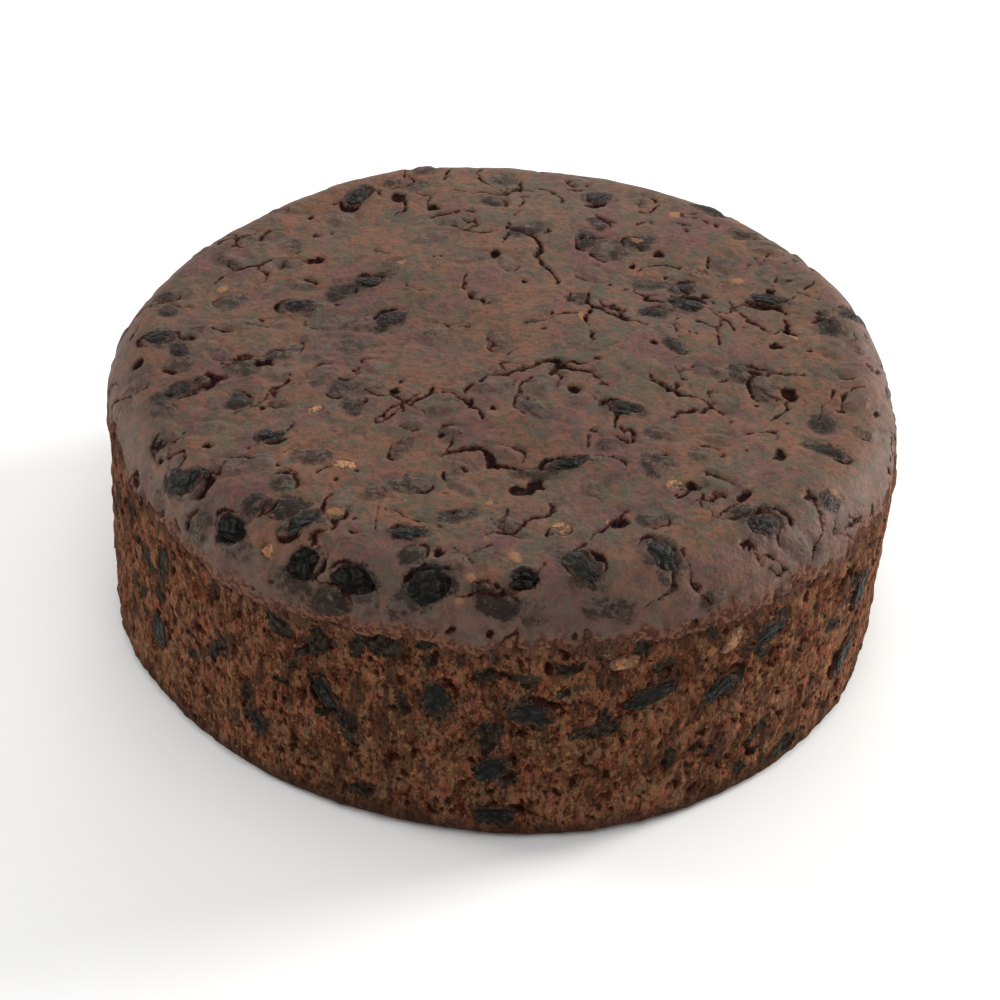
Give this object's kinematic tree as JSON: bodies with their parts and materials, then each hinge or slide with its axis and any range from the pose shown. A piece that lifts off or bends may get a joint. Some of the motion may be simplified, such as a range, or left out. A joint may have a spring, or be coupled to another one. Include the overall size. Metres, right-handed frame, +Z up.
{
  "type": "fruit cake",
  "caption": "Round, dark, rich fruit cake, whole and uncut, with a smooth cracked top, a rough crumb side and raisins and chopped nuts showing at its surface.",
  "frame": {"origin": "middle of the flat underside", "axes": "+Z up out of the top; the pictured side faces -Y"},
  "size_m": [0.2006, 0.2035, 0.0775],
  "materials": {
    "crumb": "matte baked crumb",
    "raisin": "satin skin",
    "nut": "satin"
  },
  "bodies": {
    "root": {"cake": "crumb", "top_raisin_01": "raisin", "top_raisin_02": "raisin", "top_raisin_03": "raisin", "top_raisin_04": "raisin", "top_raisin_05": "raisin", "top_raisin_06": "raisin", "top_raisin_07": "raisin", "top_raisin_08": "raisin", "top_raisin_09": "raisin", "top_raisin_10": "raisin", "top_raisin_11": "raisin", "top_raisin_12": "raisin", "top_raisin_13": "raisin", "top_raisin_14": "raisin", "top_raisin_15": "raisin", "top_raisin_16": "raisin", "top_raisin_17": "raisin", "top_raisin_18": "raisin", "top_raisin_19": "raisin", "top_raisin_20": "raisin", "top_raisin_21": "raisin", "top_raisin_22": "raisin", "side_raisin_01": "raisin", "side_raisin_02": "raisin", "side_raisin_03": "raisin", "side_raisin_04": "raisin", "side_raisin_05": "raisin", "side_raisin_06": "raisin", "side_raisin_07": "raisin", "side_raisin_08": "raisin", "side_raisin_09": "raisin", "side_raisin_10": "raisin", "side_raisin_11": "raisin", "side_raisin_12": "raisin", "side_raisin_13": "raisin", "side_raisin_14": "raisin", "side_raisin_15": "raisin", "side_raisin_16": "raisin", "side_raisin_17": "raisin", "side_raisin_18": "raisin", "top_nut_01": "nut", "top_nut_02": "nut", "top_nut_03": "nut", "top_nut_04": "nut", "top_nut_05": "nut", "top_nut_06": "nut", "side_nut_01": "nut", "side_nut_02": "nut"}
  },
  "joints": []
}
